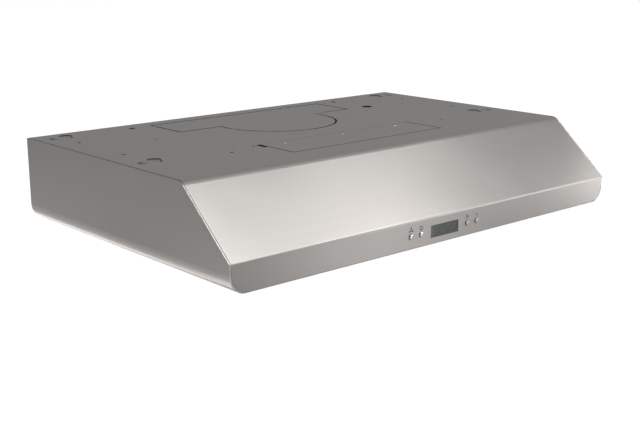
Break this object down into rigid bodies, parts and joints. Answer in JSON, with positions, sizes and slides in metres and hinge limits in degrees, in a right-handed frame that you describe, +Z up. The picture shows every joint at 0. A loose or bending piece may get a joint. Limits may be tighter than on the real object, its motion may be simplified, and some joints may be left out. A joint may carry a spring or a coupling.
{
  "type": "under cabinet range hood",
  "caption": "Bent steel range hood for under a wall cabinet, with slanted front, push buttons, display, tilting grease filters, lamps and a twin squirrel-cage blower.",
  "frame": {"origin": "middle of the top face's rear edge, where the wall cabinet's underside meets the wall", "axes": "+Z up, out of the top face that meets the cabinet; -Y to the front, towards the cook; +X along the hood's width, to the cook's right"},
  "size_m": [0.759, 0.5099, 0.127],
  "materials": {
    "stainless": "brushed along the hood's width, satin",
    "galvanised": "zinc coated sheet, dull",
    "screw_steel": "plated steel, bright",
    "button_metal": "polished, with slightly domed faces",
    "aluminium_mesh": "expanded mesh, bright",
    "aluminium_frame": "mill finish",
    "black_plastic": "moulded, matt",
    "board_green": "solder resist",
    "display": "grey liquid crystal",
    "clear_window": "clear, gloss",
    "lamp_glass": "halogen reflector, clear",
    "ceramic": "white ceramic",
    "chrome_trim": "polished ring",
    "motor_steel": "painted dark grey",
    "bronze": "sintered bronze",
    "capacitor_grey": "moulded, light grey",
    "terminal_white": "moulded, white",
    "ground_green": "green passivated"
  },
  "bodies": {
    "hood": {"hood_wrap": "stainless", "right_side_panel": "stainless", "left_side_panel": "stainless", "back_panel": "galvanised", "recirculation_cover": "stainless", "cover_screws": "screw_steel", "lamp_tray": "stainless", "tray_screws": "screw_steel", "filter_rail": "stainless", "filter_divider": "stainless", "lamp_trim_right": "chrome_trim", "lamp_trim_left": "chrome_trim", "lamp_bulb_right": "lamp_glass", "lamp_bulb_left": "lamp_glass", "lamp_socket_right": "ceramic", "lamp_socket_left": "ceramic", "lamp_strap_right": "galvanised", "lamp_strap_left": "galvanised", "blower_scroll": "galvanised", "inlet_plate_right": "galvanised", "inlet_plate_left": "galvanised", "motor_plate_right": "galvanised", "motor_plate_left": "galvanised", "blower_motor": "motor_steel", "motor_bearings": "bronze", "blower_nuts": "screw_steel", "control_housing": "black_plastic", "control_board": "board_green", "button_switches": "black_plastic", "lcd_window": "clear_window", "lcd_module": "display", "wiring_box": "galvanised", "terminal_block": "terminal_white", "ground_screw": "ground_green", "run_capacitor": "capacitor_grey"},
    "blower_rotor": {"blower_shaft": "screw_steel", "blower_wheel_right": "galvanised", "blower_wheel_left": "galvanised"},
    "filter_right": {"filter_frame_right": "aluminium_frame", "filter_mesh_right": "aluminium_mesh"},
    "filter_left": {"filter_frame_left": "aluminium_frame", "filter_mesh_left": "aluminium_mesh"},
    "latch_right": {"filter_latch_right": "black_plastic"},
    "latch_left": {"filter_latch_left": "black_plastic"},
    "fan_button": {"button_fan": "button_metal"},
    "light_button": {"button_light": "button_metal"},
    "timer_button": {"button_timer": "button_metal"},
    "select_button": {"button_select": "button_metal"}
  },
  "joints": [
    {"name": "rotor_spin", "type": "hinge", "parent": "hood", "child": "blower_rotor", "pos_m": [0, -0.084, -0.05], "axis": [1, 0, 0], "continuous": true},
    {"name": "filter_right_tilt", "type": "hinge", "parent": "hood", "child": "filter_right", "pos_m": [0.173, -0.0765, -0.1198], "axis": [1, 0, 0], "range_deg": [0, 60]},
    {"name": "latch_right_slide", "type": "slide", "parent": "filter_right", "child": "latch_right", "axis": [0, 1, 0], "range_m": [0, 0.006], "stiffness_N_per_m": 200},
    {"name": "filter_left_tilt", "type": "hinge", "parent": "hood", "child": "filter_left", "pos_m": [-0.173, -0.0765, -0.1198], "axis": [1, 0, 0], "range_deg": [0, 60]},
    {"name": "latch_left_slide", "type": "slide", "parent": "filter_left", "child": "latch_left", "axis": [0, 1, 0], "range_m": [0, 0.006], "stiffness_N_per_m": 200},
    {"name": "fan_press", "type": "slide", "parent": "hood", "child": "fan_button", "axis": [0, 1, 0], "range_m": [0, 0.0012], "stiffness_N_per_m": 500},
    {"name": "light_press", "type": "slide", "parent": "hood", "child": "light_button", "axis": [0, 1, 0], "range_m": [0, 0.0012], "stiffness_N_per_m": 500},
    {"name": "timer_press", "type": "slide", "parent": "hood", "child": "timer_button", "axis": [0, 1, 0], "range_m": [0, 0.0012], "stiffness_N_per_m": 500},
    {"name": "select_press", "type": "slide", "parent": "hood", "child": "select_button", "axis": [0, 1, 0], "range_m": [0, 0.0012], "stiffness_N_per_m": 500}
  ]
}
